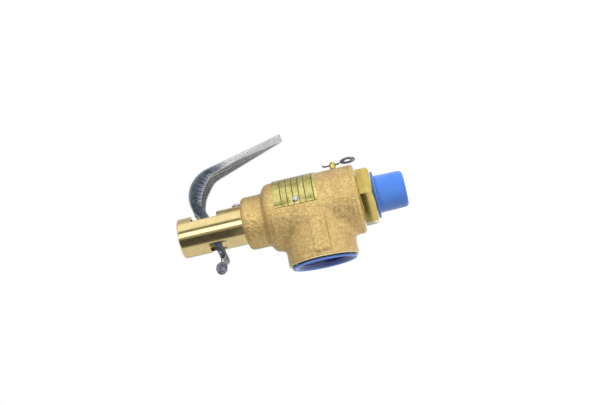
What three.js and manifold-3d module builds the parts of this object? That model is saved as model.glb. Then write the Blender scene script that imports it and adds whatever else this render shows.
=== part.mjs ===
// Spring-loaded safety relief valve, angle pattern, with a lift lever. Millimetres, +Z up.
// The origin is the centre of the nozzle's inlet end face. The outlet points along -X.
// The cap and the lever are clamped a few degrees round from the outlet's plane.
import * as THREE from 'three';
import { mergeVertices } from 'three/addons/utils/BufferGeometryUtils.js';
import Module from 'manifold-3d';

const wasm = await Module();
wasm.setup();

// ---------- driving dimensions ----------
const GAP = 0.3; // clearance between neighbouring pieces
const BODY_Z = 32; // underside of the cast body
const BODY_R = 26.2;
const SHOULDER_Z = 103.6; // top of the main barrel's rounded shoulder
const NECK_R = 20.15;
const NECK_Z = 120.6;
const SPIGOT_R = 12.7;
const SPIGOT_Z = 129;
const CHAMBER_R = 22.7;
const CHAMBER_Z = 44;
const NECK_BORE_R = 16.3;
const OUTLET_Z = 67.8; // height of the outlet's axis
const OUTLET_X = -40; // outlet face
const BRANCH_R = 26.5;
const OUTLET_R = 20.2; // mean radius of the female outlet thread
const OUTLET_DEPTH = 17;
const SPOT_FACE_R = 24.9; // shallow spot face inside the rim's flat land
const SPOT_FACE_DEPTH = 0.2;
const PLUG_R = 24.5; // flange of the outlet plug, which leaves the land clear
const NOZZLE_BORE_R = 8;
const NOZZLE_TOP = 54; // seat face
const SHANK_R = 17; // nozzle's thread into the body
const INLET_THREAD_R = 13.2; // at its upper end
const THREAD_TAPER = 1 / 32; // radius change per length of a tapered pipe thread
const HEX_AF = 40.2;
const HEX_Z = [21.4, 31.6];
const HEX_TURN = -3.3; // degrees, of one corner from -Y
const CAP_R = 15;
const CAP_BORE_R = 13;
const CAP_Z = [NECK_Z + GAP, 170.5];
const CAP_TURN = 9.5; // degrees about Z of the cap and lever from the outlet's plane
const WINDOW_Z = 139.5; // lower edge of both windows
const LEVER_WINDOW_TOP = 160;
const FULCRUM_WINDOW_TOP = 149;
const SPINDLE_R = 3.9;
const STEP_R = 12.6; // spring steps
const SPRING_Z = [82.6, 110.4];
const SPRING_R = 10.2;
const WIRE_R = 1.7;
const SPRING_TURNS = 5;
const LIFT_NUT_Z = 153.1;
const SHEET = 1.5; // lever's steel
const FORK_HALF = 8.5; // half the lever's width at the fork
const TIP_HALF = 6.6;
const PAD_Z = OUTLET_Z - 2.3; // middle of the raised pad on the branch
const PAD_HALF = 5.8;
const RING_SCREW_Z = BODY_Z + 14.7;
const CAP_SCREW_Z = 124.8;
const PLATE_R = 27;
const PLATE_Z = [61.8, 93.9];
const PLATE_ANGLES = [4, 104]; // degrees from -Y towards +X
const RIVET_ANGLES = [12, 96];
const RIVET_Z = 78.1;

const BRONZE = [0xc9a469, 0.55, 0.9];
const BRASS = [0xd9bf7c, 0.25, 1.0];
const STEEL = [0xb9bcc2, 0.3, 1.0];
const LEAD = [0x6e6a78, 0.6, 0.6];
const BLUE = [0x3f82dc, 0.35, 0.0];
const POLYMER = [0x2b2b2e, 0.5, 0.0];

const rad = THREE.MathUtils.degToRad;

// ---------- solids ----------
// A closed geometry as a manifold solid, with shared corners merged and empty triangles dropped.
function solid(geometry) {
  const bare = geometry.clone();
  bare.deleteAttribute('normal');
  bare.deleteAttribute('uv');
  const merged = mergeVertices(bare, 1e-4);
  const index = merged.index.array;
  const triVerts = [];
  for (let i = 0; i < index.length; i += 3) {
    const [a, b, c] = [index[i], index[i + 1], index[i + 2]];
    if (a !== b && b !== c && c !== a) triVerts.push(a, b, c);
  }
  return new wasm.Manifold(new wasm.Mesh({
    numProp: 3,
    vertProperties: merged.attributes.position.array,
    triVerts: new Uint32Array(triVerts),
  }));
}

function geometryOf(manifold) {
  const mesh = manifold.getMesh();
  const geometry = new THREE.BufferGeometry();
  geometry.setAttribute('position', new THREE.BufferAttribute(mesh.vertProperties, 3));
  geometry.setIndex(new THREE.BufferAttribute(mesh.triVerts, 1));
  geometry.computeVertexNormals();
  return geometry;
}

// Turned piece about Z: the outline is [radius, z] points, taken round anticlockwise.
function turned(outline, segments = 32) {
  const points = outline.map(([r, z]) => new THREE.Vector2(r, z));
  const onAxis = outline[0][0] === 0 && outline.at(-1)[0] === 0;
  if (!onAxis) points.push(points[0].clone());
  return solid(new THREE.LatheGeometry(points, segments).rotateX(Math.PI / 2));
}

function ring(inner, outer, z0, z1, segments = 32) {
  return turned([[inner, z0], [outer, z0], [outer, z1], [inner, z1]], segments);
}

function rod(r, z0, z1, segments = 32) {
  return turned([[0, z0], [r, z0], [r, z1], [0, z1]], segments);
}

function block(x, y, z) {
  const size = [x, y, z].map(([low, high]) => high - low);
  const mid = [x, y, z].map(([low, high]) => (high + low) / 2);
  return solid(new THREE.BoxGeometry(...size).translate(...mid));
}

// Prism of a closed outline, extruded by half its depth each way and set in place by a matrix.
function prism(shape, half, place) {
  const geometry = new THREE.ExtrudeGeometry(shape, {
    depth: 2 * half, bevelEnabled: false, curveSegments: 10,
  });
  return solid(geometry.translate(0, 0, -half).applyMatrix4(place));
}

function hexagon(acrossFlats, z0, z1) {
  const r = acrossFlats / Math.sqrt(3);
  return rod(r, z0, z1, 6);
}

// A hexagon whose corners are turned off at the ends named.
function chamferedHexagon(acrossFlats, z0, z1, bottom = true, top = true) {
  const land = acrossFlats / 2 + 0.01 * acrossFlats;
  const corner = acrossFlats / Math.sqrt(3) + 1;
  const drop = (corner - land) * Math.tan(rad(26));
  const cone = turned([
    [0, z0], [bottom ? land : corner, z0], [corner, bottom ? z0 + drop : z0],
    [corner, top ? z1 - drop : z1], [top ? land : corner, z1], [0, z1],
  ], 30);
  return hexagon(acrossFlats, z0, z1).intersect(cone);
}

function arc(cx, cz, r, from, to, steps) {
  return Array.from({ length: steps + 1 }, (_, i) => {
    const a = rad(from + ((to - from) * i) / steps);
    return [cx + r * Math.cos(a), cz + r * Math.sin(a)];
  });
}

function tube(points, r, steps, sides = 8) {
  const path = new THREE.CatmullRomCurve3(points.map((p) => new THREE.Vector3(...p)));
  const section = new THREE.Shape(arc(0, 0, r, 0, 360 - 360 / sides, sides - 1)
    .map(([x, y]) => new THREE.Vector2(x, y)));
  return solid(new THREE.ExtrudeGeometry(section, { steps, extrudePath: path }));
}

// The lever plane's axes are X and Z; shapes drawn in it are extruded along Y.
const SIDE = new THREE.Matrix4().makeRotationX(Math.PI / 2);

const valve = new THREE.Group();
const capGroup = new THREE.Group();
capGroup.rotation.z = rad(CAP_TURN);
valve.add(capGroup);

function add(name, manifold, [color, roughness, metalness], group = valve) {
  const material = new THREE.MeshStandardMaterial({ color, roughness, metalness });
  const mesh = new THREE.Mesh(geometryOf(manifold), material);
  mesh.name = name;
  group.add(mesh);
}

// ---------- cast body ----------
function barrel() {
  const shoulder = 6.4;
  const fillet = 1.6;
  const neckRound = 3.6;
  return turned([
    [0, BODY_Z],
    ...arc(BODY_R - 2.2, BODY_Z + 2.2, 2.2, -90, 0, 3),
    ...arc(BODY_R - shoulder, SHOULDER_Z - shoulder, shoulder, 0, 78, 5),
    ...arc(NECK_R + fillet, SHOULDER_Z + fillet, fillet, -100, -180, 3),
    ...arc(NECK_R - neckRound, NECK_Z - neckRound, neckRound, 0, 90, 4),
    [SPIGOT_R, NECK_Z], [SPIGOT_R, SPIGOT_Z], [0, SPIGOT_Z],
  ], 40);
}

function alongOutlet(manifold) {
  return manifold.rotate([0, -90, 0]).translate([0, 0, OUTLET_Z]);
}

function body() {
  const length = -OUTLET_X;
  const edge = 0.6;
  const branch = alongOutlet(turned([
    [0, 3], [BRANCH_R, 3], ...arc(BRANCH_R - edge, length - edge, edge, 0, 90, 2),
    [SPOT_FACE_R, length], [SPOT_FACE_R, length - SPOT_FACE_DEPTH], [0, length - SPOT_FACE_DEPTH],
  ], 40));
  const pad = block([-36, -8.5], [-27.3, -20], [PAD_Z - PAD_HALF, PAD_Z + PAD_HALF]);
  const chamber = turned([
    [0, BODY_Z - 1], [SHANK_R + GAP, BODY_Z - 1], [SHANK_R + GAP, CHAMBER_Z],
    [CHAMBER_R, CHAMBER_Z], [CHAMBER_R, SHOULDER_Z - 10], [NECK_BORE_R, SHOULDER_Z - 1.6],
    [NECK_BORE_R, 116.6], [8 + GAP, 116.6], [8 + GAP, SPIGOT_Z + 1], [0, SPIGOT_Z + 1],
  ], 32);
  const outlet = alongOutlet(turned([
    [0, 5], [18.5, 5], [18.5, length - OUTLET_DEPTH], [OUTLET_R, length - OUTLET_DEPTH],
    [OUTLET_R, length - 1], [OUTLET_R + 1, length + 1], [0, length + 1],
  ], 36));
  const screwHole = rod(2.4, 15, 30, 16).rotate([0, 90, 0]).translate([0, 0, RING_SCREW_Z]);
  let cast = barrel().add(branch).add(pad).subtract(chamber).subtract(outlet).subtract(screwHole);
  for (const angle of RIVET_ANGLES) {
    cast = cast.subtract(atBarrel(rod(1.2, BODY_R - 2.2, BODY_R + 1, 12), angle, RIVET_Z));
  }
  return cast;
}

// Turns a piece built along +Z to stand on the barrel, angle degrees from -Y towards +X.
function atBarrel(manifold, angle, z) {
  return manifold.rotate([0, 90, 0]).rotate([0, 0, angle - 90]).translate([0, 0, z]);
}

// ---------- inlet and seat ----------
function nozzle() {
  const threadEnd = INLET_THREAD_R - THREAD_TAPER * 20;
  const outside = turned([
    [0, 0], [threadEnd - 0.8, 0], [threadEnd, 1], [INLET_THREAD_R, 20], [12.2, 20.4],
    [12.2, 22], [SHANK_R, 22], [SHANK_R, CHAMBER_Z], [13.5, CHAMBER_Z], [13.5, 51.4],
    [10.2, 51.8], [10.2, NOZZLE_TOP], [0, NOZZLE_TOP],
  ], 36);
  const hex = chamferedHexagon(HEX_AF, ...HEX_Z, true, false).rotate([0, 0, HEX_TURN]);
  const bore = turned([
    [0, -1], [10.2, -1], [9.8, 0], [NOZZLE_BORE_R, 12], [NOZZLE_BORE_R, NOZZLE_TOP + 1],
    [0, NOZZLE_TOP + 1],
  ], 32);
  return outside.add(hex).subtract(bore);
}

function regulatorRing() {
  const notches = 12;
  let blank = turned([
    [13.8, 44.6], [18.6, 44.6], [18.6, 48.6], [16, 50], [16, 52.6], [13.8, 52.6],
  ], 24);
  for (let i = 0; i < notches; i++) {
    const notch = block([17.2, 20], [-2.1, 2.1], [44, 49.2]);
    blank = blank.subtract(notch.rotate([0, 0, (360 * i) / notches]));
  }
  return blank;
}

function ringLockScrew() {
  const head = 2.4;
  const domeStart = 30;
  const screw = turned([
    [0, 17.8], [1.6, 17.8], [2.1, 19.6], [2.1, BODY_R + GAP], [head, BODY_R + GAP],
    ...arc(0, domeStart, head, 0, 68, 3), [0, domeStart + head],
  ], 20);
  const crossHole = rod(0.9, -4, 4, 12).rotate([0, 90, 0]).translate([0, 0, domeStart - 0.4]);
  return screw.subtract(crossHole).rotate([0, 90, 0]).translate([0, 0, RING_SCREW_Z]);
}

function discHolder() {
  return turned([
    [0, 57.6], [11.1, 57.6], [11.1, 54.3], [15, 54.3], [15, 62], [9.7, 66], [9.7, 77.4],
    [SPINDLE_R + GAP, 77.4], [SPINDLE_R + GAP, 62], [0, 62],
  ], 28);
}

function spindle() {
  return turned([
    [0, 62.3], [2.4, 62.3], [SPINDLE_R, 63.8], [SPINDLE_R, 77.7], [6.5, 77.7], [6.5, 78.9],
    [SPINDLE_R, 78.9], [SPINDLE_R, 164], [SPINDLE_R - 1, 165], [0, 165],
  ], 20);
}

// ---------- spring and its adjustment ----------
function springStep(z, towards) {
  const bore = SPINDLE_R + GAP;
  const [rim, boss] = [z + 3 * towards, z + 5.6 * towards];
  const outline = [[bore, z], [STEP_R, z], [STEP_R, rim], [8.2, rim], [8, boss], [bore, boss]];
  return turned(towards > 0 ? outline : outline.reverse(), 28);
}

function spring() {
  const points = [];
  const stepsPerTurn = 12;
  const height = SPRING_Z[1] - SPRING_Z[0] - 2 * WIRE_R;
  const closed = 2 * WIRE_R + 0.1; // rise over each closed end turn
  const open = (height - 2 * closed) / (SPRING_TURNS - 2);
  for (let i = 0; i <= SPRING_TURNS * stepsPerTurn; i++) {
    const turn = i / stepsPerTurn;
    const middle = THREE.MathUtils.clamp(turn - 1, 0, SPRING_TURNS - 2);
    const ends = turn - middle;
    const a = 2 * Math.PI * turn;
    points.push([
      SPRING_R * Math.cos(a), SPRING_R * Math.sin(a),
      SPRING_Z[0] + WIRE_R + closed * ends + open * middle,
    ]);
  }
  return tube(points, WIRE_R, SPRING_TURNS * 13, 6);
}

function adjustingScrew() {
  const thread = rod(8, 114, 134, 24);
  const head = chamferedHexagon(15, 134, 138.5, false, true);
  return thread.add(head).subtract(rod(SPINDLE_R + 0.4, 113, 140, 20));
}

function nut(acrossFlats, bore, z0, z1) {
  return chamferedHexagon(acrossFlats, z0, z1).subtract(rod(bore, z0 - 1, z1 + 1, 20));
}

function liftNut() {
  const flange = rod(9.5, LIFT_NUT_Z, LIFT_NUT_Z + 2, 28);
  const grip = chamferedHexagon(13, LIFT_NUT_Z + 2, LIFT_NUT_Z + 7, false, true);
  return flange.add(grip).subtract(rod(SPINDLE_R + GAP, LIFT_NUT_Z - 1, LIFT_NUT_Z + 8, 20));
}

// ---------- cap ----------
function cap() {
  const [z0, z1] = CAP_Z;
  const outside = turned([
    [0, z0], [CAP_R - 0.4, z0], [CAP_R, z0 + 0.4],
    ...arc(CAP_R - 1.8, z1 - 1.8, 1.8, 0, 90, 3), [0, z1],
  ], 40);
  const bore = rod(CAP_BORE_R, z0 - 1, z1 - 2.5, 36);
  const leverWindow = block([7.5, 16], [-14, 14], [WINDOW_Z, LEVER_WINDOW_TOP]);
  const fulcrumWindow = block([-16, -5], [-9.5, 9.5], [WINDOW_Z, FULCRUM_WINDOW_TOP]);
  const screwHole = rod(2.4, 10, 18, 16).rotate([0, 90, 0]).translate([0, 0, CAP_SCREW_Z]);
  return outside.subtract(bore).subtract(leverWindow).subtract(fulcrumWindow)
    .subtract(screwHole);
}

function capLockScrew() {
  const seat = CAP_R + GAP;
  return turned([
    [0, 13.1], [2.1, 13.1], [2.1, seat], [3.8, seat], [3.8, seat + 0.9], [3.1, seat + 1.8],
    [1.3, seat + 2.2], [0, seat + 2.2],
  ], 24).rotate([0, 90, 0]).translate([0, 0, CAP_SCREW_Z]);
}

// ---------- lever ----------
// The prongs' lower edge rises towards the handle; the sheet's back is bent round above it.
const SHANK_SLOPE = Math.tan(rad(15));
const BEND = { x: 26.6, z: 135.9, r: 23.3 };
const HANDLE_LEAN = 14; // degrees from the valve's axis
const TIP_Z = 81.5;
const lowerEdge = (x) => 143.9 + SHANK_SLOPE * x;

function handleEnd(lean, start) {
  return [start[0] + (start[1] - TIP_Z) * Math.tan(rad(lean)), TIP_Z];
}

function bendOutline(inset) {
  return arc(BEND.x, BEND.z, BEND.r - inset, 105, HANDLE_LEAN, 9);
}

// Inner free edge of the flanges, from the handle's tip back to the shank.
function freeEdge() {
  const tip = handleEnd(19, [44.7, 134]);
  const bend = new THREE.CatmullRomCurve3([
    [44.7, 134], [41.9, 139.8], [36.2, 144.1], [30.4, 147.6], [23.8, 149.7], [19.7, 149.9],
  ].map(([x, z]) => new THREE.Vector3(x, 0, z)));
  return [tip, ...bend.getPoints(10).map((p) => [p.x, p.z]), [17.7, lowerEdge(17.7)]];
}

function prongTip() {
  const half = 3.4;
  const slope = 15;
  const x = -22.2;
  return arc(x, lowerEdge(x) + half / Math.cos(rad(slope)), half, 270 + slope - 5, 90 + slope + 5, 6);
}

function outlineShape(points) {
  return new THREE.Shape(points.map(([x, y]) => new THREE.Vector2(x, y)));
}

// Plan of the lever seen from outside: half width against height, tapering down the handle.
function leverPlan(inset, low) {
  const shape = outlineShape([
    [-TIP_HALF + inset, low], [TIP_HALF - inset, low], [FORK_HALF - inset, 134],
    [FORK_HALF - inset, 170], [-FORK_HALF + inset, 170], [-FORK_HALF + inset, 134],
  ]);
  const facing = new THREE.Matrix4().makeBasis(
    new THREE.Vector3(0, 1, 0), new THREE.Vector3(0, 0, 1), new THREE.Vector3(1, 0, 0),
  );
  return prism(shape, 90, facing);
}

function lever() {
  const bend = bendOutline(0);
  const outer = [
    ...prongTip(), [8, lowerEdge(8) + 7], [12.6, lowerEdge(12.6) + 9.1],
    ...bend, handleEnd(HANDLE_LEAN, bend.at(-1)), ...freeEdge(),
  ];
  const inner = bendOutline(SHEET);
  const hollow = [
    [-40, 100], [-40, 170], [13, 170], [13, lowerEdge(13) + 9.1 - SHEET],
    ...inner, handleEnd(HANDLE_LEAN, inner.at(-1)), [30, TIP_Z],
  ];
  const blank = prism(outlineShape(outer), 12, SIDE).intersect(leverPlan(0, TIP_Z - 1));
  const inside = prism(outlineShape(hollow), 12, SIDE).intersect(leverPlan(SHEET, TIP_Z - 5));
  const wireHole = rod(1.3, 6, 10, 14).rotate([90, 0, 0]).translate([-21.5, 0, 141.7]);
  return blank.subtract(inside).subtract(wireHole);
}

// ---------- wires, seals and plate ----------
function ringSealWire() {
  const x = 29.6;
  const z = RING_SCREW_Z;
  return tube([
    [x + 0.2, -2.6, z + 7.6], [x - 0.4, -1.6, z + 5.6], [x, 0, z + 3.4], [x, 0, z], [x, 0, z - 3.4],
    [x + 0.4, -0.6, z - 5.2],
  ], 0.5, 18);
}

function ovalSeal(length, height, thick) {
  const shape = new THREE.Shape();
  shape.absellipse(0, 0, length / 2, height / 2, 0, 2 * Math.PI);
  const hole = new THREE.Path();
  hole.absellipse(0, 0, length / 9, height / 6, 0, 2 * Math.PI);
  shape.holes.push(hole);
  return solid(new THREE.ExtrudeGeometry(shape, {
    depth: thick - 1, bevelEnabled: true, bevelThickness: 0.5, bevelSize: -0.5, bevelOffset: 0,
    bevelSegments: 1, curveSegments: 8,
  }).translate(0, 0, (1 - thick) / 2));
}

function leverSealWire() {
  return tube([
    [-21.5, -5.4, 141.7], [-21.5, -7.8, 141.7], [-21.7, -10.2, 141.7], [-23.4, -11, 141.4],
    [-26, -10.4, 141.2], [-27.6, -9.6, 141.4],
  ], 0.6, 16);
}

function leverLeadSeal() {
  const section = arc(0, 0, 5, 0, 324, 9).map(([x, z]) => [x, z * 0.84]);
  const disc = new THREE.ExtrudeGeometry(outlineShape(section), {
    depth: 2.8, bevelEnabled: true, bevelThickness: 0.8, bevelSize: 0.8, bevelOffset: -0.8,
    bevelSegments: 2,
  });
  return solid(disc.translate(0, 0, -1.4)).rotate([90, 20, 0]).translate([-33.2, -8.8, 142]);
}

function nameplate() {
  const [from, to] = PLATE_ANGLES;
  const outline = [
    ...arc(0, 0, PLATE_R, from - 90, to - 90, 20),
    ...arc(0, 0, BODY_R + GAP, to - 90, from - 90, 20),
  ];
  const half = (PLATE_Z[1] - PLATE_Z[0]) / 2;
  let plate = prism(outlineShape(outline), half, new THREE.Matrix4())
    .translate([0, 0, (PLATE_Z[0] + PLATE_Z[1]) / 2]);
  for (const angle of RIVET_ANGLES) {
    plate = plate.subtract(atBarrel(rod(1.2, BODY_R - 1, PLATE_R + 1, 12), angle, RIVET_Z));
  }
  return plate;
}

function driveRivet(angle) {
  const seat = PLATE_R + 0.15;
  const head = turned([
    [0, BODY_R - 1.8], [0.9, BODY_R - 1.8], [0.9, seat], [2, seat], [2, seat + 0.3],
    [1.4, seat + 0.9], [0, seat + 1.1],
  ], 16);
  return atBarrel(head, angle, RIVET_Z);
}

// ---------- thread covers ----------
function inletThreadCap() {
  const wallTop = 14.35;
  const wallEnd = 13.95;
  const bottom = -2.7;
  return turned([
    [0, bottom], ...arc(wallEnd - 3, bottom + 3, 3, -90, 0, 4), [wallTop, 19.1], [17.7, 19.1],
    [17.7, 21], [13.6, 21], [13.6, 19], [12.95, 0.8], [12.2, -0.6], [0, -0.6],
  ], 32);
}

function outletPlug() {
  const face = -OUTLET_X + GAP;
  const inner = face - 11.5;
  return alongOutlet(turned([
    [0, inner], [19, inner], [19.6, face], [PLUG_R, face], [PLUG_R, face + 1.4],
    [PLUG_R - 0.6, face + 2],
    [18.2, face + 2], [17.4, face + 0.8], [17, inner + 1.5], [0, inner + 1.5],
  ], 36));
}

// ---------- assembly ----------
add('body', body(), BRONZE);
add('nozzle', nozzle(), BRASS);
add('regulator_ring', regulatorRing(), BRASS);
add('ring_lock_screw', ringLockScrew(), BRASS);
add('ring_seal_wire', ringSealWire(), STEEL);
add('ring_lead_seal', ovalSeal(12, 4.4, 2.6).rotate([90, 0, 0]).rotate([0, 90, 0])
  .translate([30.6, -0.6, 35]), LEAD);
add('seat_disc', rod(10.8, 54.3, 57.3, 36), POLYMER);
add('seat_screw', turned([[0, 51.9], [3.2, 51.9], [4, 52.7], [4, 54], [0, 54]], 24), BRASS);
add('disc_holder', discHolder(), BRASS);
add('disc_guide', ring(10, 22.4, 72, 77), BRASS);
add('spindle', spindle(), STEEL);
add('lower_spring_step', springStep(79.2, 1), BRASS);
add('spring', spring(), STEEL);
add('upper_spring_step', springStep(113.7, -1), BRASS);
add('adjusting_screw', adjustingScrew(), BRASS);
add('adjusting_lock_nut', nut(22, 8 + GAP, 129.3, 133.3), BRASS);
add('lift_nut', liftNut(), STEEL);
add('lift_lock_nut', nut(13, SPINDLE_R + GAP, 160.4, 164), STEEL);
add('cap', cap(), BRASS, capGroup);
add('cap_lock_screw', capLockScrew(), STEEL, capGroup);
add('lever', lever(), STEEL, capGroup);
add('lever_seal_wire', leverSealWire(), STEEL, capGroup);
add('lever_lead_seal', leverLeadSeal(), LEAD, capGroup);
add('nameplate', nameplate(), BRASS);
RIVET_ANGLES.forEach((angle, i) => add(`nameplate_rivet_${i + 1}`, driveRivet(angle), STEEL));
add('inlet_thread_cap', inletThreadCap(), BLUE);
add('outlet_plug', outletPlug(), BLUE);

export default valve;
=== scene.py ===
"""Looks of a spring-loaded safety relief valve: cast bronze body, turned brass cap, bent steel lift lever.

Sizes are in millimetres up to the point where a mesh is made. +Z runs from the inlet to the cap, the outlet
points along -X, and the cap and the lever are clamped CAP_TURN degrees round from the outlet's plane.
"""
import math

import bpy
import numpy as np
from mathutils import Matrix, Vector, noise


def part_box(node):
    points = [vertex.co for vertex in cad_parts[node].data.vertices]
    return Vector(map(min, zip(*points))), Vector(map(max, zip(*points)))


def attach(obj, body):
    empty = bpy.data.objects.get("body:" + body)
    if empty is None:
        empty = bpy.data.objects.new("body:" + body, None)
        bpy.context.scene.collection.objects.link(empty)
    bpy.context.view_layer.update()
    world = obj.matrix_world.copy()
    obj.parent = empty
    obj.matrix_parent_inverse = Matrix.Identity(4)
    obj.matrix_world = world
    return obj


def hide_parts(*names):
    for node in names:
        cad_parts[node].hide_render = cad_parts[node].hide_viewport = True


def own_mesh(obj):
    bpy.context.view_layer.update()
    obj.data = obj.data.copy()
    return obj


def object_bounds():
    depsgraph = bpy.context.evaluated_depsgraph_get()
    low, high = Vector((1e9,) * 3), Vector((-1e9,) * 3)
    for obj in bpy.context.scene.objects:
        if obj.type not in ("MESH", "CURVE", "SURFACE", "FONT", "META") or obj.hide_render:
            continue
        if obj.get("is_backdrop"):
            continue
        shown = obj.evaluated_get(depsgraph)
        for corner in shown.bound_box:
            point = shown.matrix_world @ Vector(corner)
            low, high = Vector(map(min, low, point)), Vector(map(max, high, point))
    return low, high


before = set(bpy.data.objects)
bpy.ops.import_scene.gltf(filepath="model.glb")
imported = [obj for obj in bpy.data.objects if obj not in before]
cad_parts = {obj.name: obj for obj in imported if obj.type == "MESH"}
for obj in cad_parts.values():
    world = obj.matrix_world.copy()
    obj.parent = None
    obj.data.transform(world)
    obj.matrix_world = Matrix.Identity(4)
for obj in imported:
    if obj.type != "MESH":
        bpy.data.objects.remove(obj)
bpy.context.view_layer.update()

MM = 0.001


def span(node):
    """Lowest and highest corners of a CAD node, in millimetres."""
    low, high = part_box(node)
    return low / MM, high / MM


# ---------- driving sizes, millimetres and degrees ----------
BODY_Z = span("body")[0].z
SPIGOT_Z = span("body")[1].z
OUTLET_X = span("body")[0].x
CAP_LOW, CAP_TOP = span("cap")[0].z, span("cap")[1].z
BODY_R = 26.2
SHOULDER_Z = 103.6
NECK_R = 20.15
NECK_Z = 120.6
SPIGOT_R = 12.7
CHAMBER_R = 22.7
CHAMBER_Z = 44
OUTLET_Z = 67.8
BRANCH_R = 26.5
OUTLET_R = 20.2
OUTLET_PITCH = 2.209
OUTLET_THREAD_DEPTH = 17
PASSAGE_R = 18.5  # outlet's way in from the chamber
SPOT_FACE_R = 24.9
SPOT_FACE_DEPTH = 0.2
PAD_Z = 65.5  # raised cast pad on the branch, with a sunk middle
PAD_X = (-36, -8.5)
PAD_HALF = 5.8
PAD_FACE_Y = -27.4
POCKET_X = (-34.4, -10.1)
POCKET_HALF = 4.4
POCKET_FLOOR_Y = -26.75
SHANK_R = 17  # nozzle's thread into the body
GAP = 0.3  # between pieces that touch
SPRING_BORE_R = 16.3
SPRING_BORE_Z = 116.6
SCREW_BORE_R = 8.3  # adjusting screw's way through the spigot
HEX_AF = 40.2
HEX_Z = (21.4, 31.6)
HEX_TURN = -3.3
INLET_R = 13.2
INLET_TURNS = 10
OUTLET_TURNS = 7
VOXEL = 0.6  # grid that the casting's skin is drawn on
INLET_PITCH = 1.814
THREAD_TAPER = 1 / 32
CAP_R = 15
CAP_BORE_R = 13
CAP_TURN = 9.5
WINDOW_Z = 139.5  # lower edge of both windows in the cap
LEVER_WINDOW_TOP = 160
FULCRUM_WINDOW_TOP = 149
SPINDLE_R = 3.9
SPRING_Z = (82.6, 110.4)
SPRING_R = 10.2
WIRE_R = 1.7
SHEET = 1.5  # thickness of the lever's steel
FORK_HALF = 8.5
TIP_HALF = 6.6
TIP_Z = 81.5
RING_SCREW_Z = BODY_Z + 14.7
CAP_SCREW_Z = 124.8
PLATE_R = 27
PLATE_Z = (61.8, 93.9)
PLATE_ANGLES = (4, 104)
PLATE_RULES = (88.2, 83.6, 79.1, 74.6, 70.1, 64.0)  # heights of the plate's engraved lines
RIVET_ANGLES = (12, 96)
RIVET_Z = 78.1

OUTLET_TILT = 10.9  # degrees the outlet is turned away from straight across the view
CAMERA_REACH = 768  # from the valve's axis
CAMERA_Z = 25.6
CAMERA_LENS = 61.4
AXIS_LEAN = 13  # degrees the valve's axis climbs towards the inlet


# ---------- mesh making ----------
def polar(r, degrees):
    a = math.radians(degrees)
    return r * math.cos(a), r * math.sin(a)


def arc(cx, cz, r, start, end, steps):
    angles = np.linspace(start, end, steps + 1)
    return [(cx + polar(r, a)[0], cz + polar(r, a)[1]) for a in angles]


def rounded(outline, radius=0.3, steps=3, closed=False):
    """The outline with each corner drawn as a small arc; a point's own third value is its radius."""
    points = [Vector(p[:2]) for p in outline]
    radii = [p[2] if len(p) > 2 else radius for p in outline]
    result = []
    count = len(points)
    for i, corner in enumerate(points):
        ends = not closed and i in (0, count - 1)
        if ends or radii[i] <= 0:
            result.append(tuple(corner))
            continue
        before, after = points[i - 1], points[(i + 1) % count]
        back, ahead = (before - corner), (after - corner)
        turn = math.pi - back.angle(ahead, math.pi)
        if turn < 0.02:
            result.append(tuple(corner))
            continue
        reach = radii[i] * math.tan(turn / 2)
        reach = min(reach, back.length * 0.45, ahead.length * 0.45)
        start, end = corner + back.normalized() * reach, corner + ahead.normalized() * reach
        for k in range(steps + 1):
            t = k / steps
            result.append(tuple(start * (1 - t) ** 2 + corner * 2 * t * (1 - t) + end * t * t))
    return result


def mesh_object(name, verts, faces):
    mesh = bpy.data.meshes.new(name)
    mesh.from_pydata([tuple(c * MM for c in v) for v in verts], [], faces)
    mesh.validate()
    obj = bpy.data.objects.new(name, mesh)
    bpy.context.scene.collection.objects.link(obj)
    return obj


def turned(name, outline, segments=128):
    """A closed piece turned about Z. The outline is (radius, height) points, anticlockwise."""
    on_axis = outline[0][0] < 1e-6 and outline[-1][0] < 1e-6
    rows, verts, faces = [], [], []
    for r, z in outline:
        if r < 1e-6:
            rows.append([len(verts)] * segments)
            verts.append((0, 0, z))
        else:
            rows.append(list(range(len(verts), len(verts) + segments)))
            for k in range(segments):
                verts.append((*polar(r, 360 * k / segments), z))
    pairs = list(zip(rows, rows[1:])) + ([] if on_axis else [(rows[-1], rows[0])])
    for lower, upper in pairs:
        for k in range(segments):
            n = (k + 1) % segments
            face = [lower[k], lower[n], upper[n], upper[k]]
            face = [v for i, v in enumerate(face) if v not in face[:i]]
            if len(face) > 2:
                faces.append(face)
    return mesh_object(name, verts, faces)


def prism(name, outline, z0, z1):
    """Upright piece with a flat closed outline of (x, y) points, anticlockwise."""
    n = len(outline)
    verts = [(x, y, z) for z in (z0, z1) for x, y in outline]
    faces = [[i, (i + 1) % n, n + (i + 1) % n, n + i] for i in range(n)]
    return mesh_object(name, verts, faces + [list(range(n))[::-1], list(range(n, 2 * n))])


def block(name, x, y, z):
    return prism(name, [(x[0], y[0]), (x[1], y[0]), (x[1], y[1]), (x[0], y[1])], *z)


def placed(obj, *turns, at=(0, 0, 0)):
    """Turns the mesh about the named axes in order, in degrees, then moves it. The object stays put."""
    matrix = Matrix.Identity(4)
    for axis, degrees in turns:
        matrix = Matrix.Rotation(math.radians(degrees), 4, axis) @ matrix
    obj.data.transform(Matrix.Translation(Vector(at) * MM) @ matrix)
    return obj


def drill(name, r, z0, z1, segments):
    """A plain round bar about Z, as a cutter."""
    return turned(name, [(0, z0), (r, z0), (r, z1), (0, z1)], segments)


def washer_cutter(name, inner, outer, z0, z1, segments):
    """A flat ring about Z, as a cutter."""
    return turned(name, [(inner, z0), (outer, z0), (outer, z1), (inner, z1)], segments)


def along_outlet(obj):
    return placed(obj, ("Y", -90), at=(0, 0, OUTLET_Z))


def on_barrel(obj, angle, z):
    """Stands a piece built along +Z on the barrel, angle degrees from -Y towards +X."""
    return placed(obj, ("Y", 90), ("Z", angle - 90), at=(0, 0, z))


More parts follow.
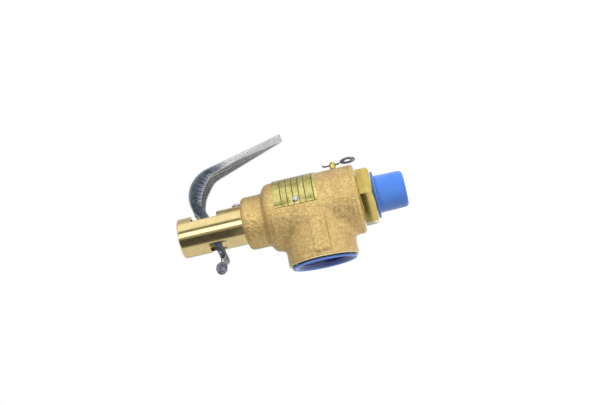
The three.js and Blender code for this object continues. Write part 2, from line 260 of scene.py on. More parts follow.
def bake(obj):
    """Applies every modifier to the object's own mesh."""
    bpy.context.view_layer.update()
    evaluated = obj.evaluated_get(bpy.context.evaluated_depsgraph_get())
    mesh = bpy.data.meshes.new_from_object(evaluated)
    obj.modifiers.clear()
    obj.data = mesh
    return obj


def combine(obj, others, operation):
    for other in others:
        modifier = obj.modifiers.new(operation.lower(), "BOOLEAN")
        modifier.operation = operation
        modifier.solver = "MANIFOLD"
        modifier.object = other
    bake(obj)
    for other in others:
        bpy.data.objects.remove(other)
    return obj


def cut(obj, *cutters):
    return combine(obj, cutters, "DIFFERENCE")


def fused(obj, *others):
    return combine(obj, others, "UNION")


def bevelled(obj, width, angle=35, segments=2):
    modifier = obj.modifiers.new("bevel", "BEVEL")
    modifier.width = width * MM
    modifier.segments = segments
    modifier.angle_limit = math.radians(angle)
    return bake(obj)


def joined(name, *pieces):
    """One mesh of several closed pieces."""
    verts, faces = [], []
    for piece in pieces:
        base = len(verts)
        verts += [tuple(v.co / MM) for v in piece.data.vertices]
        faces += [[base + i for i in p.vertices] for p in piece.data.polygons]
        bpy.data.objects.remove(piece)
    return mesh_object(name, verts, faces)


def dress(obj, material, body, slot, *nodes, angle=35):
    """Gives a finished mesh its material and shading, and sets it on its CAD body."""
    obj.data.materials.clear()
    obj.data.materials.append(material)
    obj.data.shade_smooth()
    obj.data.set_sharp_from_angle(angle=math.radians(angle))
    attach(obj, body)
    if nodes:
        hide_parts(*nodes)
    return obj


# ---------- material making ----------
def feed(tree, socket, value):
    """Links an output to the socket, or sets the socket to a plain value; None leaves it alone."""
    if isinstance(value, bpy.types.NodeSocket):
        tree.links.new(value, socket)
    elif value is not None:
        socket.default_value = value


def add_node(tree, kind, output, *inputs, **settings):
    """Adds a node, feeds its inputs in order, and returns one of its outputs."""
    node = tree.nodes.new(kind)
    for key, value in settings.items():
        setattr(node, key, value)
    for socket, value in zip(node.inputs, inputs):
        feed(tree, socket, value)
    return node.outputs[output]


class Finish:
    """A material's node tree, with its pattern coordinates in millimetres."""

    def __init__(self, name, metallic=0.0, roughness=0.4, ior=1.5, **sockets):
        self.material = bpy.data.materials.new(name)
        self.material.use_nodes = True
        self.tree = self.material.node_tree
        self.tree.nodes.clear()
        output = self.tree.nodes.new("ShaderNodeOutputMaterial")
        self.shader = self.tree.nodes.new("ShaderNodeBsdfPrincipled")
        self.tree.links.new(self.shader.outputs[0], output.inputs[0])
        self.shader.inputs["Metallic"].default_value = metallic
        self.shader.inputs["Roughness"].default_value = roughness
        self.shader.inputs["IOR"].default_value = ior
        for socket, value in sockets.items():
            self.shader.inputs[socket.replace("_", " ")].default_value = value
        place = self.tree.nodes.new("ShaderNodeTexCoord").outputs["Object"]
        self.place = self.node("ShaderNodeVectorMath", 0, place, (1 / MM,) * 3, operation="MULTIPLY")

    def node(self, kind, output, *inputs, **settings):
        """Adds a node, sets or links its inputs in order, and returns one of its outputs."""
        return add_node(self.tree, kind, output, *inputs, **settings)

    def put(self, socket, value):
        feed(self.tree, socket, value)

    def set(self, socket, value):
        self.put(self.shader.inputs[socket], value)

    def math(self, operation, *values):
        return self.node("ShaderNodeMath", 0, *values, operation=operation)

    def stretched(self, x, y, z):
        return self.node("ShaderNodeVectorMath", 0, self.place, (x, y, z), operation="MULTIPLY")

    def grain(self, size, detail=3.0, place=None, rough=0.55):
        """Soft noise with lumps of about that size."""
        node = self.tree.nodes.new("ShaderNodeTexNoise")
        self.put(node.inputs["Vector"], place or self.place)
        node.inputs["Scale"].default_value = 1 / size
        node.inputs["Detail"].default_value = detail
        node.inputs["Roughness"].default_value = rough
        return node.outputs[0]

    def cells(self, size):
        """Distance to the nearest of scattered points about that far apart."""
        node = self.tree.nodes.new("ShaderNodeTexVoronoi")
        self.put(node.inputs["Vector"], self.place)
        node.inputs["Scale"].default_value = 1 / size
        return node.outputs["Distance"]

    def ramp(self, factor, *stops):
        """Colour or grey level against a factor, through (place, value) stops."""
        node = self.tree.nodes.new("ShaderNodeValToRGB")
        self.put(node.inputs[0], factor)
        band = node.color_ramp
        while len(band.elements) < len(stops):
            band.elements.new(0.5)
        for element, (where, value) in zip(band.elements, stops):
            element.position = where
            element.color = (*((value,) * 3 if isinstance(value, (int, float)) else value), 1)
        return node.outputs[0]

    def level(self, factor, low, high, start=0.3, end=0.7):
        """A plain number that runs from low to high as the factor goes from start to end."""
        return self.node("ShaderNodeMapRange", 0, factor, start, end, low, high)

    def mix(self, factor, a, b):
        """Colour a where the factor is 0, b where it is 1."""
        node = self.tree.nodes.new("ShaderNodeMix")
        node.data_type = "RGBA"
        self.put(node.inputs[0], factor)
        for socket, value in ((node.inputs[6], a), (node.inputs[7], b)):
            self.put(socket, (*value, 1) if isinstance(value, tuple) else value)
        return node.outputs[2]

    def bump(self, *layers):
        """Raises the surface by (height, depth in millimetres) layers."""
        normal = None
        for height, depth in layers:
            node = self.tree.nodes.new("ShaderNodeBump")
            node.inputs["Distance"].default_value = depth * MM
            node.inputs["Strength"].default_value = 1.0
            self.put(node.inputs["Height"], height)
            self.put(node.inputs["Normal"], normal)
            normal = node.outputs[0]
        self.set("Normal", normal)

    def axis(self, name):
        return self.node("ShaderNodeSeparateXYZ", "XYZ".index(name), self.place)


def cast_bronze():
    """Sand-cast, shot-blasted bronze, with faced and bored places told apart by an attribute."""
    f = Finish("cast_bronze", metallic=0.8)
    sand = f.grain(1.9, 4.0, rough=0.6)
    sparkle = f.grain(0.8, 3.0)
    cloud = f.grain(11.0, 3.0)
    pits = f.cells(2.2)
    skin = f.ramp(sand, (0.34, (0.49, 0.335, 0.125)), (0.5, (0.60, 0.425, 0.17)), (0.68, (0.76, 0.57, 0.26)))
    skin = f.mix(f.level(cloud, 0.0, 0.4), skin, (0.44, 0.295, 0.11))
    skin = f.mix(f.level(pits, 0.5, 0.0, 0.02, 0.16), skin, (0.20, 0.12, 0.04))
    tool_marks = f.grain(0.5, 3.0, f.stretched(1, 1, 0.1))
    bare = f.ramp(tool_marks, (0.3, (0.62, 0.48, 0.22)), (0.7, (0.82, 0.68, 0.38)))
    machined = f.node("ShaderNodeAttribute", "Fac", attribute_name="machined")
    f.set("Base Color", f.mix(machined, skin, bare))
    f.set("Roughness", f.node("ShaderNodeMix", 0, machined, f.level(sparkle, 0.28, 0.46), 0.34))
    cast = f.math("SUBTRACT", 1.0, machined)
    waves = f.math("MULTIPLY", f.grain(5.0, 2.0), cast)
    rough_height = f.math("MULTIPLY", f.math("ADD", sand, f.math("MULTIPLY", sparkle, 0.6)), cast)
    f.bump((waves, 0.5), (rough_height, 0.48))
    return f.material


def machined_brass():
    """Milled and turned brass with fine tool marks and a few handling smears."""
    f = Finish("machined_brass", metallic=1.0)
    marks = f.grain(0.22, 3.0, f.stretched(0.12, 0.12, 1.6))
    smear = f.grain(7.0, 4.0)
    f.set("Base Color", f.mix(f.level(smear, 0.0, 0.8), (0.60, 0.47, 0.15), (0.44, 0.33, 0.09)))
    f.set("Roughness", f.level(smear, 0.12, 0.24))
    f.bump((marks, 0.02), (f.grain(1.5, 2.0), 0.012))
    return f.material


def turned_brass():
    """Polished bar brass with the lathe's fine rings round it."""
    f = Finish("turned_brass", metallic=1.0)
    rings = f.grain(0.16, 2.0, f.stretched(0.01, 0.01, 1.0))
    broad = f.grain(2.4, 2.0, f.stretched(0.02, 0.02, 1.0))
    smear = f.grain(6.0, 4.0)
    f.set("Base Color", f.mix(f.level(smear, 0.0, 0.7), (0.88, 0.72, 0.37), (0.76, 0.58, 0.25)))
    f.set("Roughness", f.level(smear, 0.11, 0.2))
    f.bump((rings, 0.006), (broad, 0.03), (f.grain(4.0, 2.0), 0.02))
    return f.material


def plate_brass():
    """Thin rolled brass sheet with fine rules engraved across it."""
    f = Finish("plate_brass", metallic=1.0)
    height = f.axis("Z")
    engraved = None
    for rule in PLATE_RULES:
        off = f.math("ABSOLUTE", f.math("SUBTRACT", height, rule))
        line = f.level(off, 1.0, 0.0, 0.16, 0.38)
        engraved = line if engraved is None else f.math("MAXIMUM", engraved, line)
    cloud = f.grain(5.0, 4.0)
    sheet = f.ramp(cloud, (0.3, (0.46, 0.41, 0.11)), (0.7, (0.80, 0.74, 0.30)))
    f.set("Base Color", f.mix(engraved, sheet, (0.06, 0.05, 0.02)))
    f.set("Roughness", f.level(f.grain(0.6, 3.0), 0.18, 0.34))
    f.bump((engraved, -0.15), (f.grain(0.3, 2.0, f.stretched(0.1, 0.1, 1)), 0.01), (f.grain(3.0), 0.05))
    return f.material


def plain_steel():
    f = Finish("machined_steel", metallic=1.0)
    marks = f.grain(0.2, 3.0, f.stretched(0.1, 0.1, 1.4))
    cloud = f.grain(4.0, 4.0)
    f.set("Base Color", f.mix(f.level(cloud, 0.0, 0.8), (0.66, 0.67, 0.69), (0.46, 0.46, 0.47)))
    f.set("Roughness", f.level(cloud, 0.22, 0.4))
    f.bump((marks, 0.02))
    return f.material


def zinc_plate():
    """Bright zinc plating over pressed sheet; the flanges' outer faces round the bend carry a painted dark
    reflection, darker and bluer, for the dark room they face.
    """
    f = Finish("zinc_plate", metallic=1.0)
    cloud = f.grain(8.0, 4.0)
    speck = f.grain(0.5, 4.0)
    web = f.ramp(f.grain(14.0, 2.0), (0.35, (0.48, 0.49, 0.50)), (0.5, (0.55, 0.56, 0.57)),
                 (0.68, (0.44, 0.44, 0.38)))
    # painted dark reflection: the flanges' outer faces are coloured dark and bluer in place of the dark room
    # they mirror
    painted_dark_reflection = f.ramp(cloud, (0.35, (0.10, 0.125, 0.16)), (0.6, (0.20, 0.235, 0.28)))
    outside = f.node("ShaderNodeAttribute", "Fac", attribute_name="outside")
    tint = f.mix(outside, web, painted_dark_reflection)
    f.set("Base Color", f.mix(f.level(speck, 0.0, 0.2, 0.5, 0.8), tint, (0.20, 0.21, 0.23)))
    # less metallic on the painted dark faces, as part of the painted dark reflection
    f.set("Metallic", f.level(outside, 0.75, 1.0, 0.0, 1.0))
    f.set("Roughness", f.level(cloud, 0.14, 0.26))
    f.bump((speck, 0.01), (f.grain(5.0, 2.0), 0.1), (f.grain(0.25, 2.0, f.stretched(1, 1, 0.08)), 0.004))
    return f.material


def seal_wire():
    f = Finish("seal_wire", metallic=0.9)
    cloud = f.grain(0.9, 4.0)
    f.set("Base Color", f.mix(f.level(cloud, 0.0, 1.0), (0.30, 0.27, 0.23), (0.10, 0.09, 0.08)))
    f.set("Roughness", f.level(cloud, 0.32, 0.55))
    f.bump((f.grain(0.2), 0.02))
    return f.material


def dull_lead():
    """Crimped lead, oxidised to a purple grey, brighter where the tool rubbed it."""
    f = Finish("dull_lead", metallic=0.75)
    cloud = f.grain(1.6, 5.0)
    rubbed = f.grain(3.4, 3.0)
    oxide = f.ramp(cloud, (0.3, (0.06, 0.055, 0.08)), (0.7, (0.16, 0.15, 0.20)))
    f.set("Base Color", f.mix(f.level(rubbed, 0.0, 0.7, 0.45, 0.7), oxide, (0.34, 0.32, 0.38)))
    f.set("Roughness", f.level(cloud, 0.38, 0.6))
    f.bump((cloud, 0.15), (f.grain(0.4), 0.04))
    return f.material


def soft_polymer():
    f = Finish("seat_polymer", roughness=0.5)
    f.set("Base Color", f.ramp(f.grain(1.2), (0.3, 0.02), (0.7, 0.05)))
    f.bump((f.grain(0.3), 0.02))
    return f.material


def blue_plastic(name, light, deep, dish_x=None):
    """Moulded polyethylene: a waxy blue with a soft orange-peel skin and rubbed scuffs.

    Inboard of dish_x the colour is a painted shade, deeper, for the plug's recess lying in its own shade.
    """
    f = Finish(name, roughness=0.3, Subsurface_Weight=0.1, Subsurface_Scale=0.004,
               Coat_Weight=0.25, Coat_Roughness=0.15)
    f.shader.inputs["Subsurface Radius"].default_value = (0.2, 0.4, 1.0)
    cloud = f.grain(10.0, 3.0)
    scuff = f.grain(0.35, 5.0, f.stretched(0.3, 0.3, 1.6), 0.7)
    if dish_x is None:
        share = f.level(cloud, 0.0, 0.6)
    else:
        # painted shade: the recess inboard of dish_x takes the deep colour
        share = f.level(f.axis("X"), 0.0, 1.0, dish_x, dish_x + 0.8)
    blue = f.mix(share, light, deep)
    f.set("Base Color", f.mix(f.level(scuff, 0.0, 0.2, 0.6, 0.8), blue, (0.12, 0.30, 0.72)))
    f.set("Roughness", f.level(cloud, 0.24, 0.36))
    f.bump((f.grain(2.6, 2.0), 0.06), (scuff, 0.012))
    return f.material


BRONZE = cast_bronze()
BRASS = machined_brass()
CAP_BRASS = turned_brass()
PLATE = plate_brass()
STEEL = plain_steel()
ZINC = zinc_plate()
WIRE = seal_wire()
LEAD = dull_lead()
POLYMER = soft_polymer()
BLUE = blue_plastic("blue_plastic", (0.032, 0.145, 0.50), (0.022, 0.115, 0.43))
# the dish's deep colour is a painted shade for the plug's recess
DISH_BLUE = blue_plastic("dish_blue_plastic", (0.060, 0.19, 0.56), (0.003, 0.024, 0.17), OUTLET_X - 1.9)


# ---------- geometry node trees ----------
class Tree:
    """A geometry node tree with named inputs."""

    def __init__(self, name, **inputs):
        self.tree = bpy.data.node_groups.new(name, "GeometryNodeTree")
        face = self.tree.interface
        face.new_socket("Geometry", in_out="INPUT", socket_type="NodeSocketGeometry")
        for label, kind in inputs.items():
            face.new_socket(label, in_out="INPUT", socket_type=f"NodeSocket{kind}")
        face.new_socket("Geometry", in_out="OUTPUT", socket_type="NodeSocketGeometry")
        self.given = self.tree.nodes.new("NodeGroupInput").outputs
        self.result = self.tree.nodes.new("NodeGroupOutput")

    def node(self, kind, output, settings=None, **inputs):
        """Adds a node whose inputs are given by name, with _ for a space, and returns one output."""
        node = self.tree.nodes.new(kind)
        for key, value in (settings or {}).items():
            setattr(node, key, value)
        for label, value in inputs.items():
            feed(self.tree, node.inputs[label.replace("_", " ")], value)
        return node.outputs[output]

    def math(self, operation, *values):
        return add_node(self.tree, "ShaderNodeMath", 0, *values, operation=operation)

    def vector(self, operation, *values):
        return add_node(self.tree, "ShaderNodeVectorMath", 0, *values, operation=operation)

    def scaled(self, vector, scale):
        """The vector times a number, which is that node's fourth input."""
        return self.vector("SCALE", vector, None, None, scale)

    def swept(self, path, section):
        """A capped bar that carries the section along the path."""
        return self.node("GeometryNodeCurveToMesh", 0, Curve=path, Profile_Curve=section, Fill_Caps=True)

    def close(self, geometry):
        """Ends the tree: instances made real, material set."""
        real = self.node("GeometryNodeRealizeInstances", 0, Geometry=geometry)
        done = self.node("GeometryNodeSetMaterial", 0, Geometry=real, Material=self.given["Material"])
        self.tree.links.new(done, self.result.inputs[0])
        return self.tree


def strand_tree():
    """Round strands that follow the object's own curve, twisted about each other."""
    t = Tree("twisted_strands", Strands="Int", Spread="Float", Radius="Float", Pitch="Float", Sides="Int",
             Material="Material")
    doubled = t.tree.nodes.new("GeometryNodeDuplicateElements")
    doubled.domain = "SPLINE"
    feed(t.tree, doubled.inputs["Geometry"], t.given["Geometry"])
    feed(t.tree, doubled.inputs["Amount"], t.given["Strands"])
    share = t.math("DIVIDE", doubled.outputs["Duplicate Index"], t.given["Strands"])
    along = t.node("GeometryNodeSplineParameter", "Length")
    turns = t.math("ADD", share, t.math("DIVIDE", along, t.given["Pitch"]))
    angle = t.math("MULTIPLY", turns, 2 * math.pi)
    normal = t.node("GeometryNodeInputNormal", 0)
    across = t.vector("CROSS_PRODUCT", t.node("GeometryNodeInputTangent", 0), normal)
    out = t.scaled(normal, t.math("COSINE", angle))
    sideways = t.scaled(across, t.math("SINE", angle))
    offset = t.scaled(t.vector("ADD", out, sideways), t.given["Spread"])
    moved = t.node("GeometryNodeSetPosition", 0, Geometry=doubled.outputs["Geometry"], Offset=offset)
    section = t.node("GeometryNodeCurvePrimitiveCircle", 0, Resolution=t.given["Sides"],
                     Radius=t.given["Radius"])
    return t.close(t.swept(moved, section))


def thread_tree():
    """A screw thread's ridge: a diamond section wound up a cone about Z."""
    t = Tree("screw_thread", Turns="Float", Start_Radius="Float", End_Radius="Float", Length="Float",
             Start_Z="Float", Ridge="Float", Material="Material")
    spiral = t.node("GeometryNodeCurveSpiral", 0, Resolution=48, Rotations=t.given["Turns"],
                    Start_Radius=t.given["Start_Radius"], End_Radius=t.given["End_Radius"],
                    Height=t.given["Length"])
    upright = t.node("GeometryNodeSetCurveNormal", 0, {"mode": "Z_UP"}, Curve=spiral)
    foot = t.node("ShaderNodeCombineXYZ", 0, Z=t.given["Start_Z"])
    raised = t.node("GeometryNodeTransform", 0, Geometry=upright, Translation=foot)
    diamond = t.node("GeometryNodeCurvePrimitiveCircle", 0, Resolution=4, Radius=t.given["Ridge"])
    return t.close(t.swept(raised, diamond))


def rivet_tree():
    """Rivet heads set round the barrel between two angles."""
    t = Tree("rivets_round_barrel", Count="Int", First="Float", Last="Float", Height="Float", Head="Object",
             Material="Material")
    points = t.node("GeometryNodePoints", 0, Count=t.given["Count"])
    index = t.node("GeometryNodeInputIndex", 0)
    share = t.math("DIVIDE", index, t.math("SUBTRACT", t.given["Count"], 1.0))
    sweep = t.math("SUBTRACT", t.given["Last"], t.given["First"])
    angle = t.math("ADD", t.given["First"], t.math("MULTIPLY", share, sweep))
    turn = t.node("ShaderNodeCombineXYZ", 0, Z=t.math("RADIANS", angle))
    height = t.node("ShaderNodeCombineXYZ", 0, Z=t.given["Height"])
    raised = t.node("GeometryNodeSetPosition", 0, Geometry=points, Offset=height)
    head = t.node("GeometryNodeObjectInfo", "Geometry", Object=t.given["Head"])
    heads = t.node("GeometryNodeInstanceOnPoints", 0, Points=raised, Instance=head, Rotation=turn)
    return t.close(heads)


def grow(obj, tree, **values):
    """Runs a geometry node tree on an object and returns the plain mesh as a new object."""
    modifier = obj.modifiers.new(tree.name, "NODES")
    modifier.node_group = tree
    for item in tree.interface.items_tree:
        if item.in_out == "INPUT" and item.name in values:
            modifier[item.identifier] = values[item.name]
    bpy.context.view_layer.update()
    evaluated = obj.evaluated_get(bpy.context.evaluated_depsgraph_get())
    mesh = bpy.data.meshes.new_from_object(evaluated)
    name = obj.name
    obj.name = name + "_path"
    grown = bpy.data.objects.new(name, mesh)
    bpy.context.scene.collection.objects.link(grown)
    bpy.data.objects.remove(obj)
    return grown


def path_object(name, points):
    """An open curve of straight runs from point to point."""
    curve = bpy.data.curves.new(name, "CURVE")
    curve.dimensions = "3D"
    spline = curve.splines.new("POLY")
    spline.points.add(len(points) - 1)
    for point, place in zip(spline.points, points):
        point.co = (*(c * MM for c in place), 1)
    obj = bpy.data.objects.new(name, curve)
    bpy.context.scene.collection.objects.link(obj)
    return obj


def smooth_path(points, steps=10):
    """Catmull-Rom points through a given route."""
    p = [Vector(q) for q in points]
    p = [2 * p[0] - p[1]] + p + [2 * p[-1] - p[-2]]
    result = []
    for a, b, c, d in zip(p, p[1:], p[2:], p[3:]):
        for k in range(steps):
            t = k / steps
            result.append(0.5 * (2 * b + (c - a) * t + (2 * a - 5 * b + 4 * c - d) * t * t
                                 + (3 * b - a - 3 * c + d) * t ** 3))
    return result + [p[-2]]


STRANDS = strand_tree()
THREAD = thread_tree()
RIVETS = rivet_tree()


def thread_ridge(name, turns, start_r, end_r, length, start_z, ridge):
    """One screw thread's ridge round Z, as a mesh."""
    seed = mesh_object(name, [], [])
    return grow(seed, THREAD, Turns=turns, Start_Radius=start_r * MM, End_Radius=end_r * MM,
                Length=length * MM, Start_Z=start_z * MM, Ridge=ridge * MM, Material=BRASS)


def twisted(name, route, strands, spread, radius, pitch, sides=8):
    """Round wire laid along a route: strands of that radius, their centres spread from the route."""
    return grow(path_object(name, route), STRANDS, Strands=strands, Spread=spread * MM, Radius=radius * MM,
                Pitch=pitch * MM, Sides=sides, Material=WIRE)


# ---------- cast body ----------
def barrel():
    """The body's round part: base, shoulder, neck and the spigot that the cap is clamped to."""
    shoulder, fillet, neck_round = 6.4, 1.8, 3.6
    return turned("barrel", [
        (0, BODY_Z), *arc(BODY_R - 2.2, BODY_Z + 2.2, 2.2, -90, 0, 5),
        *arc(BODY_R - shoulder, SHOULDER_Z - shoulder, shoulder, 0, 78, 10),
        *arc(NECK_R + fillet, SHOULDER_Z + fillet, fillet, -100, -180, 5),
        *arc(NECK_R - neck_round, NECK_Z - neck_round, neck_round, 0, 90, 8),
        (SPIGOT_R, NECK_Z), (SPIGOT_R, SPIGOT_Z - 0.5), (SPIGOT_R - 0.5, SPIGOT_Z), (0, SPIGOT_Z),
    ], 160)


def soften(obj, weight, rounds):
    """Draws chosen vertices towards their neighbours; weight runs from 0 to 1 at each."""
    mesh = obj.data
    co = np.zeros(len(mesh.vertices) * 3)
    mesh.vertices.foreach_get("co", co)
    co = co.reshape(-1, 3)
    edges = np.zeros(len(mesh.edges) * 2, int)
    mesh.edges.foreach_get("vertices", edges)
    a, b = edges.reshape(-1, 2).T
    degree = np.bincount(np.concatenate((a, b)), minlength=len(co))[:, None]
    share = 0.6 * weight(co / MM)[:, None]
    for _ in range(rounds):
        total = np.stack([np.bincount(np.concatenate((a, b)), np.concatenate((co[b, k], co[a, k])), len(co))
                          for k in range(3)], 1)
        co += (total / degree - co) * share
    mesh.vertices.foreach_set("co", co.ravel())
    mesh.update()


def swollen(obj, height):
    """Shifts each vertex along its normal by height(place), both in millimetres."""
    mesh = obj.data
    co, normals = np.zeros(len(mesh.vertices) * 3), np.zeros(len(mesh.vertices) * 3, np.float32)
    mesh.vertices.foreach_get("co", co)
    mesh.vertex_normals.foreach_get("vector", normals)
    lift = [height(Vector(place)) for place in co.reshape(-1, 3) / MM]
    co += (normals.reshape(-1, 3) * np.array(lift)[:, None] * MM).ravel()
    mesh.vertices.foreach_set("co", co)
    mesh.update()
    return obj


def near_junctions(co):
    """How much to soften: 1 in the corners between branch and barrel, a little on the pad, 0 elsewhere."""
    x, y, z = co.T
    off_barrel = np.abs(np.hypot(x, y) - BODY_R)
    off_branch = np.abs(np.hypot(y, z - OUTLET_Z) - BRANCH_R)
    corner = np.maximum(off_barrel, off_branch)
    pad = (y < -25.5) & (np.abs(z - PAD_Z) < 8) & (x < -5)
    weight = np.clip(1.6 - corner / 4.5, 0, 1) * (x < 6)
    return np.where(pad, 0.12, weight)


def cast_body():
    """Barrel, branch and pad as one softened casting, then bored and faced."""
    length = -OUTLET_X
    end = length + 1.5
    branch = along_outlet(turned("branch", [(0, 3), (BRANCH_R, 3), (BRANCH_R, end), (0, end)], 160))
    pad = block("pad", PAD_X, (PAD_FACE_Y, -20), (PAD_Z - PAD_HALF, PAD_Z + PAD_HALF))
    pocket = block("pocket", POCKET_X, (-29, POCKET_FLOOR_Y), (PAD_Z - POCKET_HALF, PAD_Z + POCKET_HALF))
    body = joined("cast_body", barrel(), branch, pad)
    modifier = body.modifiers.new("skin", "REMESH")
    modifier.mode = "VOXEL"
    modifier.voxel_size = VOXEL * MM
    bake(body)
    soften(body, near_junctions, 60)
    cut(body, pocket)
    soften(body, lambda co: np.full(len(co), 0.4), 4)
    swollen(body, lambda place: 0.09 * noise.noise(place * 0.22) + 0.03 * noise.noise(place * 0.9))
    cut(body, *bores_and_faces(length))
    mark_machined(body)
    return dress(body, BRONZE, "valve_body", "cast_bronze", "body", angle=40)


def bores_and_faces(length):
    """What the lathe takes out of the casting, as cutters."""
    chamber = turned("chamber", [
        (0, BODY_Z - 1), (SHANK_R + GAP, BODY_Z - 1), (SHANK_R + GAP, CHAMBER_Z), (CHAMBER_R, CHAMBER_Z),
        (CHAMBER_R, SHOULDER_Z - 10), (SPRING_BORE_R, SHOULDER_Z - 1.6), (SPRING_BORE_R, SPRING_BORE_Z),
        (SCREW_BORE_R, SPRING_BORE_Z), (SCREW_BORE_R, SPIGOT_Z + 1), (0, SPIGOT_Z + 1),
    ], 96)
    thread_end, face = length - OUTLET_THREAD_DEPTH, length - SPOT_FACE_DEPTH
    outlet = along_outlet(turned("outlet", [
        (0, 5), (PASSAGE_R, 5), (PASSAGE_R, thread_end), (OUTLET_R, thread_end), (OUTLET_R, length - 1),
        (OUTLET_R + 1.2, face), (SPOT_FACE_R, face), (SPOT_FACE_R, length), (BRANCH_R - 0.6, length),
        (BRANCH_R + 0.5, length - 1), (34, length - 1), (34, length + 5), (0, length + 5),
    ], 128))
    under = washer_cutter("under", SHANK_R, 32, BODY_Z - 3, BODY_Z + 0.05, 96)
    neck_face = washer_cutter("neck_face", SPIGOT_R + 0.02, 25, NECK_Z - 0.02, NECK_Z + 4, 96)
    hole = placed(drill("hole", 2.5, 15, 32, 32), ("Y", 90), at=(0, 0, RING_SCREW_Z))
    return chamber, outlet, under, neck_face, hole


def mark_machined(obj):
    """Writes the attribute that tells bored and faced places from the cast skin."""
    mesh = obj.data
    co = np.zeros(len(mesh.vertices) * 3)
    mesh.vertices.foreach_get("co", co)
    x, y, z = (co.reshape(-1, 3) / MM).T
    bored = (np.hypot(x, y) < CHAMBER_R + 0.1) & (z < SHOULDER_Z - 9)
    neck = (np.hypot(x, y) < 16.5) | ((z > NECK_Z - 0.1) & (np.hypot(x, y) < NECK_R - 3.5))
    port = (np.hypot(y, z - OUTLET_Z) < OUTLET_R + 0.1) & (x < -14)
    rim = x < OUTLET_X + 0.9
    under = z < BODY_Z + 0.1
    values = (bored | neck | port | rim | under).astype(np.float32)
    attribute = mesh.attributes.new("machined", "FLOAT", "POINT")
    attribute.data.foreach_set("value", values)


def outlet_threads():
    """The female pipe thread inside the outlet, behind its plug."""
    length = OUTLET_TURNS * OUTLET_PITCH
    ridge = thread_ridge("outlet_thread", OUTLET_TURNS, 20.5, 20.5 - length * THREAD_TAPER, length, 0, 0.8)
    placed(ridge, ("Y", 90), at=(OUTLET_X + 0.9, 0, OUTLET_Z))
    return dress(ridge, BRASS, "valve_body", "brass")


# ---------- inlet ----------
def hexagon_outline(across_flats, turn=0.0):
    return [polar(across_flats / math.sqrt(3), turn + 60 * k) for k in range(6)]


def hexagon(name, across_flats, z0, z1, bottom=True, top=True, turn=0.0, edge=0.35, drop=26):
    """A hexagon with its corners turned off at the ends named and its edges eased."""
    blank = prism(name, hexagon_outline(across_flats, turn), z0, z1)
    corner = across_flats / math.sqrt(3) + 1
    land = across_flats / 2 * 1.01
    fall = (corner - land) * math.tan(math.radians(drop))
    cone = turned("cone", [
        (0, z0), (land if bottom else corner, z0), (corner, z0 + fall if bottom else z0),
        (corner, z1 - fall if top else z1), (land if top else corner, z1), (0, z1),
    ], 96)
    combine(blank, [cone], "INTERSECT")
    return bevelled(blank, edge, 25)


def nozzle():
    """The turned nozzle with its wrench hexagon, and the taper thread's ridge."""
    root = INLET_R - 1.2
    outside = rounded([
        (9.8, 0), (root - 0.7, 0), (root - 0.6, 1), (root, 20), (12, 20.5), (12, 22), (SHANK_R, 22),
        (SHANK_R, CHAMBER_Z), (13.5, CHAMBER_Z), (13.5, 51.4), (10.2, 51.8), (10.2, 54), (8, 54), (8, 12),
    ], 0.25, closed=True)
    tube = turned("nozzle", outside, 128)
    collar = hexagon("collar", HEX_AF, *HEX_Z, top=False, turn=HEX_TURN - 90, edge=0.4)
    cut(collar, drill("bore", 9, 15, 40, 64))
    piece = joined("nozzle", tube, collar)
    dress(piece, BRASS, "valve_body", "brass", "nozzle")
    length = INLET_TURNS * INLET_PITCH
    start_r, end_r = root - 0.5, root - 0.5 + length * THREAD_TAPER
    ridge = thread_ridge("inlet_thread", INLET_TURNS, start_r, end_r, length, 1.3, 0.86)
    dress(ridge, BRASS, "valve_body", "brass")


def inlet_cover():
    low = span("inlet_thread_cap")[0].z
    outline = [
        (0, low), *arc(13.95 - 3, low + 3, 3, -90, 0, 8), (14.35, 19.1, 0.5), (17.7, 19.1, 0.35),
        (17.7, 21, 0.35), (13.6, 21), (13.6, 19), (12.95, 0.8), (12.2, -0.6), (0, -0.6),
    ]
    sleeve = turned("inlet_thread_cap", rounded(outline, 0.3), 160)
    return dress(sleeve, BLUE, "inlet_cover", "blue_plastic", "inlet_thread_cap")


def outlet_cover():
    face = -OUTLET_X + GAP
    inner = face - 11.5
    outline = [
        (0, inner), (19, inner, 0.8), (19.6, face, 0.2), (24.5, face, 0.3), (24.5, face + 2, 0.6),
        (22.4, face + 2, 0.4), (18.2, face - 1, 0.8), (17, inner + 1.5, 1.2), (0, inner + 1.5),
    ]
    plug = along_outlet(turned("outlet_plug", rounded(outline, 0.3, 4), 160))
    return dress(plug, DISH_BLUE, "outlet_cover", "blue_plastic", "outlet_plug")


# ---------- cap ----------
def on_cap(obj):
    return placed(obj, ("Z", CAP_TURN))


def cap():
    outline = [
        (CAP_BORE_R, CAP_LOW), (CAP_R, CAP_LOW, 0.4), (CAP_R, CAP_TOP, 1.8), (0, CAP_TOP, 0),
        (0, CAP_TOP - 2.5, 0), (CAP_BORE_R, CAP_TOP - 2.5, 0.5),
    ]
    shell = turned("cap", rounded(outline, 0.3, 6, closed=True), 192)
    lever_window = block("lever_window", (7.5, 18), (-14, 14), (WINDOW_Z, LEVER_WINDOW_TOP))
    bevelled(lever_window, 0.4)
    fulcrum_window = block("fulcrum_window", (-18, -5), (-9.5, 9.5), (WINDOW_Z, FULCRUM_WINDOW_TOP))
    bevelled(fulcrum_window, 0.4)
    hole = placed(drill("hole", 2.5, 10, 18, 32), ("Y", 90), at=(0, 0, CAP_SCREW_Z))
    cut(shell, lever_window, fulcrum_window, hole)
    return dress(on_cap(shell), CAP_BRASS, "valve_body", "turned_brass", "cap", angle=30)


